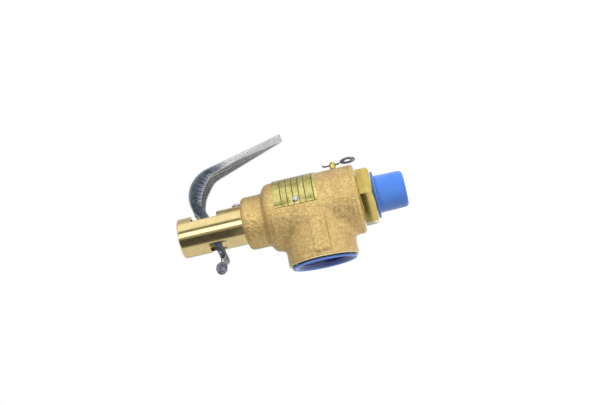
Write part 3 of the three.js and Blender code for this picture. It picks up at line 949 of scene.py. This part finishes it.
def pan_head(name, head_r, height, seat, tip, shank_r, slot_width):
    """A slotted pan-head screw along +Z, its head's underside at the seat."""
    outline = [
        (0, tip), (shank_r - 0.4, tip), (shank_r, tip + 0.6), (shank_r, seat), (head_r, seat, 0.2),
        (head_r, seat + height * 0.45, 0.5), (head_r * 0.72, seat + height * 0.9, 0.6), (0, seat + height),
    ]
    screw = turned(name, rounded(outline, 0.15, 4), 64)
    half = slot_width / 2
    slot = block("slot", (-6, 6), (-half, half), (seat + height * 0.5, seat + height + 1))
    return bevelled(cut(screw, slot), 0.08, 40)


def cap_lock_screw():
    screw = pan_head("cap_lock_screw", 3.8, 2.2, CAP_R + GAP, 13.1, 2.1, 0.9)
    on_cap(placed(screw, ("Y", 90), at=(0, 0, CAP_SCREW_Z)))
    return dress(screw, STEEL, "valve_body", "steel", "cap_lock_screw")


# ---------- lever ----------
SHANK_LEAN = 15  # degrees that the shank climbs towards the bend
PRONG_TIP_X, PRONG_TIP_R = -22.2, 3.4
SHANK_DEPTH = 7
WEB_RISE = 2.1  # how much deeper the shank is where the web starts
SEAL_HOLE = (-21.5, 0, 141.7)
BEND_X, BEND_Z, BEND_R = 26.6, 135.9, 23.3
HANDLE_LEAN = 14  # degrees from the valve's axis
HANDLE_EDGE_LEAN = 19
# angle round the bend, and the flanges' free edge there
BEND_EDGE = ((105, (19.7, 149.9)), (92, (23.8, 149.7)), (74, (30.4, 147.6)), (52, (36.2, 144.1)),
             (30, (41.4, 140.2)), (HANDLE_LEAN, (43.6, 137.0)))
HANDLE_EDGE = (44.7, 134)  # where the handle's straight free edge starts
FOLD_R = 2.2  # outside radius of the folds between web and flanges
WEB_START = 12.9
RIB_STATIONS = (20, 26, 66, 84)  # the bend's ribs rise between the first two and fade between the last


def lower_edge(x):
    """Height of the shank's lower edge."""
    return 143.9 + math.tan(math.radians(SHANK_LEAN)) * x


def lever_stations():
    """(outer point, free edge, outward way, has web) along the flange, prong's tip to handle's tip."""
    ahead, up = Vector(polar(1, SHANK_LEAN)), Vector(polar(1, SHANK_LEAN + 90))
    rise_to_middle = PRONG_TIP_R / math.cos(math.radians(SHANK_LEAN))
    middle = Vector((PRONG_TIP_X, lower_edge(PRONG_TIP_X) + rise_to_middle))
    stations = []
    for a in np.linspace(14, 90, 8):
        along, high = polar(PRONG_TIP_R, a)
        level = middle - ahead * along
        stations.append((level + up * high, level - up * high, up, False))
    for x in (-18, -14, -10, -6, -2, 2, 5, 8, 10.5, WEB_START, 15, 17.6):
        depth = SHANK_DEPTH + WEB_RISE * min(1, max(0, x - 8) / 4.6)
        low = Vector((x, lower_edge(x)))
        stations.append((low + Vector((0, depth)), low, up, x >= WEB_START))
    free = smooth_path([(*place, 0) for _, place in BEND_EDGE], 12)
    angles = np.interp(np.arange(len(free)) / 12, range(len(BEND_EDGE)), [a for a, _ in BEND_EDGE])
    for a, edge in zip(angles, free):
        outward = Vector(polar(1, a))
        stations.append((Vector((BEND_X, BEND_Z)) + outward * BEND_R, edge.xy, outward, True))
    top, top_edge, outward, _ = stations[-1]
    lean, edge_lean = math.tan(math.radians(HANDLE_LEAN)), math.tan(math.radians(HANDLE_EDGE_LEAN))
    for drop in np.linspace(0, 1, 16)[1:]:
        z, edge_z = top.y + (TIP_Z - top.y) * drop, top_edge.y + (TIP_Z - top_edge.y) * drop
        outer = Vector((top.x + (top.y - z) * lean, z))
        edge = Vector((HANDLE_EDGE[0] + (HANDLE_EDGE[1] - edge_z) * edge_lean, edge_z))
        stations.append((outer, edge, outward, True))
    return stations


def half_width(z):
    """Half the lever's width, which tapers down the handle."""
    return float(np.interp(z, (TIP_Z, HANDLE_EDGE[1]), (TIP_HALF, FORK_HALF)))


def lever_shell():
    """The lever's outer face as a sheet of quads that face inwards, the way its thickness grows."""
    flange_rows, fold_rows, web_rows = 12, 5, 6
    verts, rows, webbed = [], [], []
    for i, (outer, edge, outward, has_web) in enumerate(lever_stations()):
        radius = min(FOLD_R, 0.55 * (outer - edge).length)
        fold = outer - outward * radius
        half = half_width(min(fold.y, edge.y))
        bend_share = float(np.interp(i, RIB_STATIONS, (0, 1, 1, 0)))
        section = []
        for k in range(flange_rows):
            f = k / flange_rows
            section.append((edge.lerp(fold, f), half + rib(i, f) * bend_share))
        for k in range(fold_rows + 1):
            inward, rise = polar(radius, 90 * k / fold_rows)
            section.append((fold + outward * rise, half - radius + inward))
        across_web = np.linspace(half - radius, radius - half, web_rows + 1)[1:-1]
        full = [(at, -w) for at, w in section] + [(section[-1][0], -w) for w in across_web]
        full += [(at, w) for at, w in reversed(section)]
        rows.append(range(len(verts), len(verts) + len(full)))
        verts += [(at.x, y, at.y) for at, y in full]
        webbed.append(has_web)
    faces = []
    count = len(rows[0])
    for i in range(len(rows) - 1):
        for k in range(count - 1):
            on_flange = k < flange_rows or k >= count - 1 - flange_rows
            if on_flange or (webbed[i] and webbed[i + 1]):
                faces.append([rows[i][k], rows[i][k + 1], rows[i + 1][k + 1], rows[i + 1][k]])
    return mesh_object("lever", verts, faces)


def rib(station, across):
    """Height of the pressed wrinkles that the bend leaves on the flanges' inner half."""
    reach = max(0.0, 1 - abs(across - 0.12) / 0.42)
    return 0.35 * reach * max(0.0, math.sin(station * 2 * math.pi / 5.2)) ** 2


def mark_painted_dark_faces(obj):
    """Marks where the painted dark reflection goes: the flanges' outer faces round the bend and on the
    prongs, fading out down the handle.
    """
    marks = obj.data.attributes.new("outside", "FLOAT", "POINT")
    for vertex, mark in zip(obj.data.vertices, marks.data):
        _, y, z = vertex.co / MM
        off_side = min(1.0, max(0.0, (abs(y) - half_width(z) + 0.7) / 0.4))
        mark.value = off_side * float(np.interp(z, (124, 138), (0, 1)))


def lever():
    shell = lever_shell()
    sheet = shell.modifiers.new("sheet", "SOLIDIFY")
    sheet.thickness = SHEET * MM
    sheet.offset = 1
    sheet.use_even_offset = True
    bake(shell)
    hole = placed(drill("hole", 1.3, 4, 12, 32), ("X", 90), at=SEAL_HOLE)
    cut(shell, hole)
    bevelled(shell, 0.3, 50, 3)
    mark_painted_dark_faces(shell)
    return dress(on_cap(shell), ZINC, "lift_lever", "zinc_plate", "lever", angle=40)


# ---------- wires and seals ----------
def ring_seal_wire():
    x, z = 29.6, RING_SCREW_Z
    route = smooth_path([
        (x + 0.2, -2.6, z + 7.6), (x - 0.4, -1.6, z + 5.6), (x, 0, z + 3.4), (x, 0, z), (x, 0, z - 3.4),
        (x + 0.4, -0.6, z - 5.2),
    ], 16)
    return dress(twisted("ring_seal_wire", route, 2, 0.36, 0.38, 2.4), WIRE, "valve_body", "wire",
                 "ring_seal_wire", angle=80)


def lever_seal_wire():
    route = smooth_path([
        (-21.5, -5.4, 141.7), (-21.5, -7.8, 141.7), (-21.7, -10.2, 141.7), (-23.4, -11, 141.4),
        (-26, -10.4, 141.2), (-27.6, -9.6, 141.4),
    ], 16)
    return dress(on_cap(twisted("lever_seal_wire", route, 2, 0.3, 0.33, 2.2)), WIRE, "lift_lever", "wire",
                 "lever_seal_wire", angle=80)


def battered(obj, depth, size):
    """Shifts the surface by soft noise, as a crimping tool and handling leave soft lead."""
    return swollen(obj, lambda place: depth * noise.noise(place / size))


def lever_lead_seal():
    outline = rounded([(0, -2.1), (3.2, -2.1, 0.3), (3.5, -1.6, 0.3), (4.6, -1.7, 0.7), (4.95, 0, 2.5),
                       (4.6, 1.7, 0.7), (3.5, 1.6, 0.3), (3.2, 2.1, 0.3), (0, 2.1)], 0.3, 4)
    seal = turned("lever_lead_seal", outline, 96)
    holes = [placed(drill("hole", 0.55, -4, 4, 20), at=(x, y, 0)) for x, y in ((-1.2, 0.9), (1.5, -0.6))]
    cut(seal, *holes)
    seal.data.transform(Matrix.Diagonal((1, 0.86, 1, 1)))
    bevelled(seal, 0.12, 50)
    battered(placed(seal, ("X", 90), ("Y", 20)), 0.22, 2.2)
    on_cap(placed(seal, at=(-32.5, -9.0, 142.3)))
    return dress(seal, LEAD, "lift_lever", "lead", "lever_lead_seal", angle=60)


def ring_lead_seal():
    """An oval ferrule pressed flat on the wire's ends, with the wire's loop left open in the middle."""
    rings, sides = 64, 20
    verts, faces = [], []
    for i in range(rings):
        a = 2 * math.pi * i / rings
        along, out = math.cos(a), math.sin(a)
        for k in range(sides):
            b = 2 * math.pi * k / sides
            wall = 0.95 + 0.5 * abs(along) ** 3
            centre_z, centre_x = 4.2 * along, 1.6 * out
            reach = wall * math.cos(b)
            verts.append((centre_x + reach * out * 0.9, 1.25 * math.sin(b), centre_z + reach * along * 1.3))
            faces.append([i * sides + k, i * sides + (k + 1) % sides,
                          (i + 1) % rings * sides + (k + 1) % sides, (i + 1) % rings * sides + k])
    seal = mesh_object("ring_lead_seal", verts, faces)
    battered(seal, 0.18, 1.8)
    return dress(placed(seal, at=(30.6, -0.6, 35)), LEAD, "valve_body", "lead", "ring_lead_seal", angle=60)


def ring_lock_screw():
    head, start = 2.4, 30
    outline = [(0, 17.8), (1.6, 17.8), (2.1, 19.6), (2.1, BODY_R + GAP), (head, BODY_R + GAP, 0.2),
               *arc(0, start, head, 0, 90, 10)]
    outline[-1] = (0, start + head)
    screw = turned("ring_lock_screw", rounded(outline, 0.1, 2), 64)
    hole = placed(drill("hole", 0.9, -4, 4, 24), ("Y", 90), at=(0, 0, start - 0.4))
    cut(screw, hole)
    placed(bevelled(screw, 0.1, 45), ("Y", 90), at=(0, 0, RING_SCREW_Z))
    return dress(screw, BRASS, "valve_body", "brass", "ring_lock_screw")


# ---------- nameplate ----------
def nameplate():
    """Thin plate rolled to the barrel, with round corners; its engraving is rules only."""
    low, high = PLATE_Z
    start, end = PLATE_ANGLES
    wide = math.radians(end - start) * PLATE_R
    columns = 120
    verts, faces, rows = [], [], []
    inner, outer = BODY_R + GAP, PLATE_R
    corner = 0.6

    def height_limits(u):
        """Lower and upper edges of the plate at a distance along its width."""
        off = max(0.0, corner - min(u, wide - u))
        drop = corner - math.sqrt(max(0.0, corner ** 2 - off ** 2))
        return low + drop, high - drop

    rows_up = 24
    for i in range(columns + 1):
        t = i / columns
        u = wide * t
        z0, z1 = height_limits(u)
        a = start - 90 + math.degrees(u / PLATE_R)
        row = []
        for r in (outer, inner):
            for k in range(rows_up + 1):
                row.append(len(verts))
                verts.append((*polar(r, a), z0 + (z1 - z0) * k / rows_up))
        rows.append(row)
    side = rows_up + 1
    for a, b in zip(rows, rows[1:]):
        for k in range(rows_up):
            faces.append([a[k], b[k], b[k + 1], a[k + 1]])
            faces.append([a[side + k + 1], b[side + k + 1], b[side + k], a[side + k]])
        faces.append([b[0], a[0], a[side], b[side]])
        faces.append([a[rows_up], b[rows_up], b[2 * rows_up + 1], a[2 * rows_up + 1]])
    for row, flip in ((rows[0], False), (rows[-1], True)):
        for k in range(rows_up):
            face = [row[k], row[k + 1], row[side + k + 1], row[side + k]]
            faces.append(face[::-1] if flip else face)
    plate = mesh_object("nameplate", verts, faces)
    seat = [(0, 24), (1.2, 24), (1.2, PLATE_R - 0.3), (2.5, PLATE_R - 0.1), (2.5, 29), (0, 29)]
    cut(plate, *[on_barrel(turned("rivet_seat", seat, 32), angle, RIVET_Z) for angle in RIVET_ANGLES])
    return dress(bevelled(plate, 0.1, 50), PLATE, "valve_body", "plate_brass", "nameplate", angle=40)


def nameplate_rivets():
    seat = PLATE_R + 0.15
    foot = BODY_R - 1.8
    outline = [(0, foot), (0.9, foot), (0.9, seat), (2.0, seat, 0.1), (2.0, seat + 0.25, 0.15),
               *arc(0, seat - 1.55, 2.6, 50, 90, 5)]
    outline[-1] = (0, outline[-1][1])
    head = placed(turned("rivet_head", rounded(outline, 0.1), 40), ("Y", 90), ("Z", -90))
    seed = mesh_object("nameplate_rivets", [], [])
    rivets = grow(seed, RIVETS, Count=len(RIVET_ANGLES), First=float(RIVET_ANGLES[0]),
                  Last=float(RIVET_ANGLES[1]), Height=RIVET_Z * MM, Head=head, Material=STEEL)
    bpy.data.objects.remove(head)
    return dress(rivets, STEEL, "valve_body", "steel", "nameplate_rivet_1", "nameplate_rivet_2")


# ---------- inside ----------
def spring():
    """A round-wire spring whose end turns are closed up."""
    low, high = SPRING_Z
    per_turn, turns = 40, 5
    closed = 2 * WIRE_R + 0.1
    rise = (high - low - 2 * WIRE_R - 2 * closed) / (turns - 2)
    route = []
    for i in range(turns * per_turn + 1):
        turn = i / per_turn
        middle = min(max(turn - 1, 0), turns - 2)
        route.append((*polar(SPRING_R, 360 * turn), low + WIRE_R + closed * (turn - middle) + rise * middle))
    coil = twisted("spring", route, 1, 0.0, WIRE_R, 10, 20)
    dress(coil, STEEL, "valve_body", "steel", "spring", angle=60)
    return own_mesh(coil)


def spindle():
    outline = [
        (0, 62.3), (2.4, 62.3), (SPINDLE_R, 63.8), (SPINDLE_R, 77.7), (6.5, 77.7), (6.5, 78.9),
        (SPINDLE_R, 78.9), (SPINDLE_R, 149.5), (3.45, 150.2), (3.45, 164.2), (2.8, 165), (0, 165),
    ]
    shaft = turned("spindle", rounded(outline, 0.2), 96)
    dress(shaft, STEEL, "spindle_group", "steel", "spindle")
    ridge = thread_ridge("spindle_thread", 13, 3.4, 3.4, 13, 150.8, 0.48)
    return dress(ridge, STEEL, "spindle_group", "steel")


def bored(blank, r, z0, z1):
    return cut(blank, drill("bore", r, z0 - 1, z1 + 1, 48))


def nuts():
    """The flanged lift nut and its lock nut on the spindle, and the adjusting screw's lock nut."""
    rim = [(0, 153.1), (9.5, 153.1), (9.5, 155.1), (0, 155.1)]
    flange = turned("lift_nut", rounded(rim, 0.3), 96)
    grip = hexagon("grip", 13, 155.0, 160.1, bottom=False)
    lift = bored(fused(flange, grip), SPINDLE_R + GAP, 153.1, 160.1)
    dress(lift, STEEL, "spindle_group", "steel", "lift_nut")
    lock = bored(hexagon("lift_lock_nut", 13, 160.4, 164, turn=17), SPINDLE_R + GAP, 160.4, 164)
    dress(lock, STEEL, "spindle_group", "steel", "lift_lock_nut")
    ring = bored(hexagon("adjusting_lock_nut", 22, 129.3, 133.3, turn=11), SCREW_BORE_R, 129.3, 133.3)
    dress(ring, BRASS, "valve_body", "brass", "adjusting_lock_nut")


def inner_works():
    """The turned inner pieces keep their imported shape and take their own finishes."""
    finishes = {
        "regulator_ring": BRASS, "seat_screw": BRASS, "disc_holder": BRASS, "disc_guide": BRASS,
        "lower_spring_step": BRASS, "upper_spring_step": BRASS, "adjusting_screw": BRASS,
        "seat_disc": POLYMER,
    }
    for node, material in finishes.items():
        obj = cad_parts[node]
        obj.data.materials.clear()
        obj.data.materials.append(material)


# ---------- studio ----------
def across(degrees):
    """A direction square to the valve's axis, from the camera's side round towards the lever."""
    tilt = math.radians(OUTLET_TILT)
    to_camera = Vector((-math.sin(tilt), -math.cos(tilt), 0))
    to_lever = Vector((math.cos(tilt), -math.sin(tilt), 0))
    a = math.radians(degrees)
    return to_camera * math.cos(a) + to_lever * math.sin(a)


# brightness of the room against degrees round the valve's axis, from the camera's side towards the lever
CARDS = (
    (-180, 0.56), (-145, 0.6), (-130, 0.72), (-58, 0.72), (-48, 0.09), (-6, 0.06), (1, 0.36), (9, 0.42),
    (14, 2.4), (28, 2.4), (33, 0.16), (44, 0.18), (52, 1.12), (92, 1.12), (104, 0.56), (180, 0.56),
)


def studio():
    """A white room whose cards and gaps lie along the valve's axis and show in its polished pieces."""
    world = bpy.data.worlds.new("studio")
    bpy.context.scene.world = world
    world.use_nodes = True
    tree = world.node_tree
    tree.nodes.clear()

    def node(kind, output, *inputs, **settings):
        return add_node(tree, kind, output, *inputs, **settings)

    way = node("ShaderNodeTexCoord", "Generated")
    front = node("ShaderNodeVectorMath", "Value", way, across(0), operation="DOT_PRODUCT")
    above = node("ShaderNodeVectorMath", "Value", way, across(90), operation="DOT_PRODUCT")
    angle = node("ShaderNodeMath", 0, above, front, operation="ARCTAN2")
    turn = node("ShaderNodeMapRange", 0, angle, -math.pi, math.pi, 0.0, 1.0)
    cards = tree.nodes.new("ShaderNodeValToRGB")
    band = cards.color_ramp
    while len(band.elements) < len(CARDS):
        band.elements.new(0.5)
    for element, (degrees, value) in zip(band.elements, CARDS):
        element.position = (degrees + 180) / 360
        element.color = (value, value, value, 1)
    tree.links.new(turn, cards.inputs[0])
    seen = node("ShaderNodeLightPath", "Is Camera Ray")
    glossy = node("ShaderNodeLightPath", "Is Glossy Ray")
    soft = node("ShaderNodeBackground", 0, (1, 1, 1, 1), 0.42)
    carded = node("ShaderNodeBackground", 0, cards.outputs[0], 1.0)
    white = node("ShaderNodeBackground", 0, (1, 1, 1, 1), 1.0)
    room = node("ShaderNodeMixShader", 0, glossy, soft, carded)
    shown = node("ShaderNodeMixShader", 0, seen, room, white)
    output = tree.nodes.new("ShaderNodeOutputWorld")
    tree.links.new(shown, output.inputs[0])


def soft_lamp(name, place, size, power):
    """A square soft box that faces the middle of the valve."""
    lamp = bpy.data.lights.new(name, "AREA")
    lamp.shape = "SQUARE"
    lamp.size = size
    lamp.energy = power
    obj = bpy.data.objects.new(name, lamp)
    obj.location = place
    aim = Vector((0, 0, 0.08)) - Vector(place)
    obj.rotation_euler = aim.to_track_quat("-Z", "Y").to_euler()
    obj.visible_glossy = False  # polished metal mirrors the room's cards and not the lamps
    bpy.context.scene.collection.objects.link(obj)


def floor():
    """A plain pale floor just under the valve."""
    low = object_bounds()[0].z / MM - 0.2
    material = bpy.data.materials.new("pale_floor")
    material.use_nodes = True
    shader = material.node_tree.nodes["Principled BSDF"]
    shader.inputs["Base Color"].default_value = (0.4, 0.4, 0.4, 1)
    shader.inputs["Roughness"].default_value = 0.9
    shader.inputs["Emission Color"].default_value = (1, 1, 1, 1)
    shader.inputs["Emission Strength"].default_value = 0.88
    board = block("floor", (-2500, 2500), (-2500, 2500), (low - 5, low))
    board.data.materials.append(material)
    board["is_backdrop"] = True


def camera():
    """A long lens from the front; the valve's axis lies across the view and climbs to the right."""
    to_camera, up = across(0), across(90)
    axis = Vector((0, 0, 1))
    aim_along, aim_up = math.tan(math.radians(3.8)), math.tan(math.radians(0.53))
    forward = (-to_camera + axis * aim_along + up * aim_up).normalized()
    right = (-axis + forward * axis.dot(forward)).normalized()
    down = right.cross(forward)
    down = down if down.dot(up) < 0 else -down
    lean = math.radians(AXIS_LEAN)
    across_view = right * math.cos(lean) + down * math.sin(lean)
    down_view = -right * math.sin(lean) + down * math.cos(lean)
    data = bpy.data.cameras.new("camera")
    data.lens, data.sensor_width = CAMERA_LENS, 36
    obj = bpy.data.objects.new("camera", data)
    turn = Matrix((across_view, -down_view, -forward)).transposed().to_4x4()
    place = (to_camera * CAMERA_REACH + axis * CAMERA_Z) * MM
    obj.matrix_world = Matrix.Translation(place) @ turn
    bpy.context.scene.collection.objects.link(obj)
    bpy.context.scene.camera = obj


camera()
studio()
soft_lamp("key_lamp", across(48) * 0.9 + Vector((0, 0, 0.30)), 0.35, 11)
soft_lamp("fill_lamp", across(-35) * 1.0 + Vector((0, 0, -0.25)), 0.6, 2.2)
cast_body()
outlet_threads()
nozzle()
inlet_cover()
outlet_cover()
cap()
cap_lock_screw()
lever()
ring_seal_wire()
lever_seal_wire()
lever_lead_seal()
ring_lead_seal()
ring_lock_screw()
nameplate()
nameplate_rivets()
spring()
spindle()
nuts()
inner_works()
floor()
bpy.context.scene.view_settings.view_transform = "Standard"
